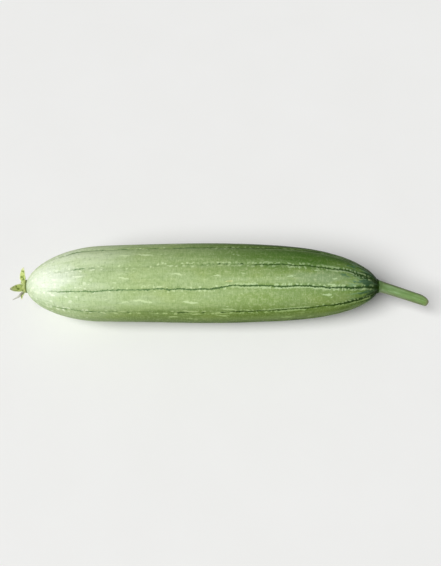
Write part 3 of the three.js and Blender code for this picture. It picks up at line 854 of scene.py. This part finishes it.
# The cup's outline, as its radius and how far out of the blossom end it reaches.
cup_outline = (
    (CUP_RADIUS - 0.35 * MM, -CUP_SUNK),
    (CUP_RADIUS, 0.5 * MM),
    (CUP_RADIUS - 0.1 * MM, CUP_HEIGHT * 0.4),
    (CUP_RADIUS - 0.45 * MM, CUP_HEIGHT * 0.72),
    (CUP_RADIUS - 0.4 * MM, CUP_HEIGHT),
    (CUP_RADIUS - 0.75 * MM, CUP_HEIGHT + 0.1 * MM),
    (CUP_RADIUS - 1.2 * MM, CUP_HEIGHT * 0.75),
    (STYLE_RADIUS + 0.8 * MM, CUP_FLOOR),
    (STYLE_RADIUS, CUP_FLOOR + 0.5 * MM),
    (STYLE_RADIUS * 0.85, STYLE_HEIGHT - 0.8 * MM),
    (STYLE_RADIUS * 0.5, STYLE_HEIGHT),
)
blossom_end = middle_line(0)
cup_path = [blossom_end - Vector((reach, 0, 0)) for _, reach in cup_outline]
calyx = grow("calyx_star", CUP_SIDES, cup_path, [radius for radius, _ in cup_outline], turning=False)
finish_with(calyx, "SUBSURF", levels=2, render_levels=2)


def sepal_nearness(turn):
    """1 in line with a sepal, and 0 midway between two."""
    gaps = [abs((turn - math.radians(sepal["turn"]) + math.pi) % (2 * math.pi) - math.pi) for sepal in SEPALS]
    return smooth_step(min(gaps), *CUP_DIP_SPAN)


# The cup's rim dips between the sepals, and its wall is faintly ribbed. For the paint, each point keeps
# whether it is on the style's stub.
(stub,) = keep(calyx, stub="FLOAT")
for vertex in calyx.data.vertices:
    off_middle = vertex.co - blossom_end
    radius = math.hypot(off_middle.y, off_middle.z)
    turn = math.atan2(-off_middle.y, off_middle.z)
    wall = smooth_step(radius, 2.2 * STYLE_RADIUS, CUP_RADIUS - 1.2 * MM)
    high = smooth_step(-off_middle.x, 0.3 * CUP_HEIGHT, CUP_HEIGHT)
    vertex.co.x += CUP_DIP * CUP_HEIGHT * (1 - sepal_nearness(turn)) * wall * high
    vertex.co += outward(turn) * CUP_RIB_RISE * math.cos(CUP_RIBS * turn) * wall
    stub[vertex.index].value = smooth_step(radius, 2.6 * STYLE_RADIUS, 1.6 * STYLE_RADIUS)


def sepal_spine(sepal):
    """Steps along the middle of a sepal: how far out of the cup's middle each is, how far on, its lean."""
    outer, reach = SEPAL_ROOT_RADIUS, SEPAL_ROOT_HEIGHT - SEPAL_SUNK
    spine = []
    for i in range(SEPAL_STEPS + 1):
        share = i / SEPAL_STEPS
        lean = math.radians(sepal["splay"] * smooth_step(share, 0, 0.2) + sepal["curl"] * share)
        lean += SEPAL_HOOK * smooth_step(share, 0.8, 1)
        spine.append((outer, reach, lean))
        step = (sepal["length"] + SEPAL_SUNK) / SEPAL_STEPS
        outer += step * math.sin(lean)
        reach += step * math.cos(lean)
    return spine


def sepal_point(sepal, across, share):
    """A point of a sepal's blade: across it from -1 to 1, and along it from 0 at the root to 1."""
    outer, reach, lean = sepal_spine(sepal)[round(share * SEPAL_STEPS)]
    spread = outward(math.radians(sepal["turn"]))
    away = Vector((-1, 0, 0))
    ahead = spread * math.sin(lean) + away * math.cos(lean)
    inside = away * math.sin(lean) - spread * math.cos(lean)
    side = inside.cross(ahead)
    twist = math.radians(sepal["twist"] * smooth_step(share, -0.3, 0.3) + sepal["coil"] * share)
    side, inside = (
        side * math.cos(twist) + inside * math.sin(twist),
        inside * math.cos(twist) - side * math.sin(twist),
    )
    start, run = SEPAL_WIDTHS
    half = sepal["width"] / 2 * math.sin(math.pi * (start + run * share)) ** SEPAL_WIDTH_POWER
    phase = sepal["turn"] / 20  # so that no two sepals wave alike
    wave = EDGE_WAVE * math.sin(share * EDGE_WAVE_TURN + phase + across) * across**2
    ridge = MIDRIB * math.exp(-((across / MIDRIB_WIDTH) ** 2))
    rise = half * SEPAL_ARCH * across**2 + (wave - ridge) * math.sin(math.pi * share)
    return blossom_end + spread * outer + away * reach + side * across * half + inside * rise


# For the paint, each point of a blade keeps its place across and along it, and whether it has shrivelled.
for number, sepal in enumerate(SEPALS):
    bpy.ops.object.select_all(action="DESELECT")
    bpy.ops.mesh.primitive_grid_add(x_subdivisions=SEPAL_COLUMNS, y_subdivisions=SEPAL_STEPS, size=2)
    blade = bpy.context.object
    sepal_across, sepal_share, shrivelled = keep(
        blade, sepal_across="FLOAT", sepal_share="FLOAT", shrivelled="FLOAT"
    )
    for vertex in blade.data.vertices:
        across, share = vertex.co.x, (vertex.co.y + 1) / 2
        sepal_across[vertex.index].value = abs(across)
        sepal_share[vertex.index].value = share
        shrivelled[vertex.index].value = number == SHRIVELLED
        vertex.co = sepal_point(sepal, across, share)
        loose = math.sin(math.pi * min(1, share + 0.15))
        vertex.co += noise.noise_vector(vertex.co * CRINKLES) * CRINKLE * loose
    finish_with(blade, "SOLIDIFY", thickness=SEPAL_THICKNESS, offset=0)
    finish_with(blade, "SUBSURF", levels=1, render_levels=1)
    calyx.select_set(True)
    bpy.context.view_layer.objects.active = calyx
    bpy.ops.object.join()

# Cup and sepals are fused under one skin of small even faces, smoothed so that they flow into each other.
# Each point of it takes what the places nearest to it kept for the paint.
kept_names = ("stub", "sepal_across", "sepal_share", "shrivelled")
kept_values = [[point.value for point in calyx.data.attributes[name].data] for name in kept_names]
kept_places = KDTree(len(calyx.data.vertices))
for vertex in calyx.data.vertices:
    kept_places.insert(vertex.co, vertex.index)
kept_places.balance()
finish_with(calyx, "REMESH", mode="VOXEL", voxel_size=SKIN_SIZE)
finish_with(calyx, "SMOOTH", factor=0.5, iterations=SKIN_SMOOTHING)
fused = keep(calyx, **dict.fromkeys(kept_names, "FLOAT"))
for vertex in calyx.data.vertices:
    near = [index for _, index, _ in kept_places.find_n(vertex.co, BLENDED_PLACES)]
    for values, data in zip(kept_values, fused):
        data[vertex.index].value = sum(values[index] for index in near) / len(near)
bpy.ops.object.shade_smooth()


def calyx_paint():
    """Leafy sepals that yellow as they dry, with dark blotches, veins and pale papery edges."""
    paint = Paint("luffa_calyx")
    x = paint.node("SeparateXYZ", {}, {"Vector": paint.place}, "X")
    share = paint.attribute("sepal_share")
    across = paint.attribute("sepal_across")
    dry = paint.attribute("shrivelled")
    clouds = paint.noise((3, 3, 3), detail=3)
    ground = paint.ramp(
        share + (clouds - 0.5) * 0.25,
        [
            (0.0, colour(172, 184, 116)),
            (0.2, colour(184, 200, 118)),
            (0.45, colour(190, 206, 116)),
            (0.75, colour(202, 214, 140)),
            (0.92, colour(222, 222, 190)),
        ],
    )
    veins = paint.fade(across, 0.1, 0.03).at_least(paint.fade(abs(across - 0.42), 0.06, 0.02))
    veins = veins * paint.fade(share, 0.9, 0.6) * paint.fade(share, 0.05, 0.15)
    ground = paint.mix(veins * 0.35, ground, colour(132, 152, 70))
    blotches = paint.noise((2.3, 2.3, 2.3), detail=2, roughness=0.55, moved=(4, 2, 7))
    inner = paint.fade(across, 1, 0.65) * paint.fade(share, 0.92, 0.72) * paint.fade(share, 0.04, 0.16)
    ground = paint.mix(paint.fade(blotches, 0.5, 0.6) * inner * 0.85, ground, colour(98, 122, 38))
    margin = paint.fade(across + (blotches - 0.5) * 0.3, 0.74, 0.94) * paint.fade(share, 0.02, 0.2)
    ground = paint.mix(margin * 0.85, ground, colour(232, 238, 200))
    scorched = paint.fade(clouds, 0.58, 0.7) * paint.fade(across, 0.55, 0.95)
    ground = paint.mix(scorched * 0.5, ground, colour(140, 122, 76))

    # The cup is dark olive where it sits on the fruit, partly painted shade, and the style's stub is brown.
    cup_foot_dark_and_shade = paint.fade(x + (clouds - 0.5) * 1.2, BLOSSOM_X / MM - 1.8, BLOSSOM_X / MM - 0.6)
    ground = paint.mix(cup_foot_dark_and_shade * 0.9, ground, colour(104, 118, 58))
    ground = paint.mix(paint.attribute("stub") * 0.9, ground, colour(112, 88, 52))
    papery = paint.mix(paint.fade(clouds, 0.4, 0.62), colour(206, 206, 194), colour(150, 146, 128))
    ground = paint.mix(dry * paint.fade(share, 0.06, 0.25), ground, papery)

    grain = paint.noise((0.5, 0.5, 0.5), detail=2)
    ground = paint.mix(paint.fade(grain, 0.45, 0.25) * 0.3, ground, colour(116, 128, 64))
    height = 0.5 + (grain - 0.5) * 0.3 - veins * 0.5 + (blotches - 0.5) * 0.5
    rough = 0.62 + (grain - 0.5) * 0.2 + dry * 0.15
    return paint.surface(ground, rough, paint.bump(height, 0.12 * MM), **{"Specular IOR Level": 0.3})


calyx.data.materials.append(calyx_paint())
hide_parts("calyx")
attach(calyx, "root")

# Floor, light and camera
# A pale floor under soft light from overhead, and the camera looks down on the gourd.

ELEVATION = math.radians(62)
LENS = 70
SENSOR = 36
VIEW_WIDTH = 328 * MM  # what the picture's width takes in at the gourd
FLOOR_SIZE = 6
ROOM_LIGHT = 0.14
ROOM_SEEN = 0.93  # more, where the camera sees it
KEY_FROM = (-0.5, -0.36, 0.8)
KEY_SPREAD = math.radians(38)
KEY_STRENGTH = 3.5

bpy.ops.object.select_all(action="DESELECT")
bpy.ops.mesh.primitive_plane_add(size=FLOOR_SIZE)
floor = bpy.context.object
floor.name = "floor"
floor_paint = Paint("pale_floor")
floor_grain = floor_paint.noise((60, 60, 60), detail=4)
floor.data.materials.append(
    floor_paint.surface(
        floor_paint.mix(floor_grain, colour(236, 236, 234), colour(240, 240, 239)),
        0.7,
        floor_paint.bump(floor_grain, 0.05 * MM),
    )
)
floor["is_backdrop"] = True

# The room lights the gourd only a little, but is as pale as the floor where it is seen past it.
world = bpy.data.worlds.new("studio")
world.use_nodes = True
world.node_tree.nodes.clear()
seen = add_node(world.node_tree, "LightPath", {}, {})
room = add_node(world.node_tree, "Background", {}, {"Strength": ROOM_LIGHT + seen * ROOM_SEEN})
add_node(world.node_tree, "OutputWorld", {}, {"Surface": room})
bpy.context.scene.world = world
bpy.context.scene.view_settings.view_transform = "Standard"

# One broad even light from above on the left, a little in front.
key_data = bpy.data.lights.new("key", "SUN")
key_data.angle = KEY_SPREAD
key_data.energy = KEY_STRENGTH
key = bpy.data.objects.new("key", key_data)
key.rotation_euler = Vector(KEY_FROM).to_track_quat("Z", "Y").to_euler()
bpy.context.scene.collection.objects.link(key)

camera_data = bpy.data.cameras.new("camera")
camera_data.lens = LENS
camera_data.sensor_fit = "HORIZONTAL"
camera_data.sensor_width = SENSOR
camera = bpy.data.objects.new("camera", camera_data)
bpy.context.scene.collection.objects.link(camera)
whole_low, whole_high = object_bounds()
aim = (Vector(whole_low) + Vector(whole_high)) / 2
back = Vector((0, -math.cos(ELEVATION), math.sin(ELEVATION))) * (VIEW_WIDTH * LENS / SENSOR)
camera.location = aim + back
camera.rotation_euler = (-back).to_track_quat("-Z", "Y").to_euler()
bpy.context.scene.camera = camera
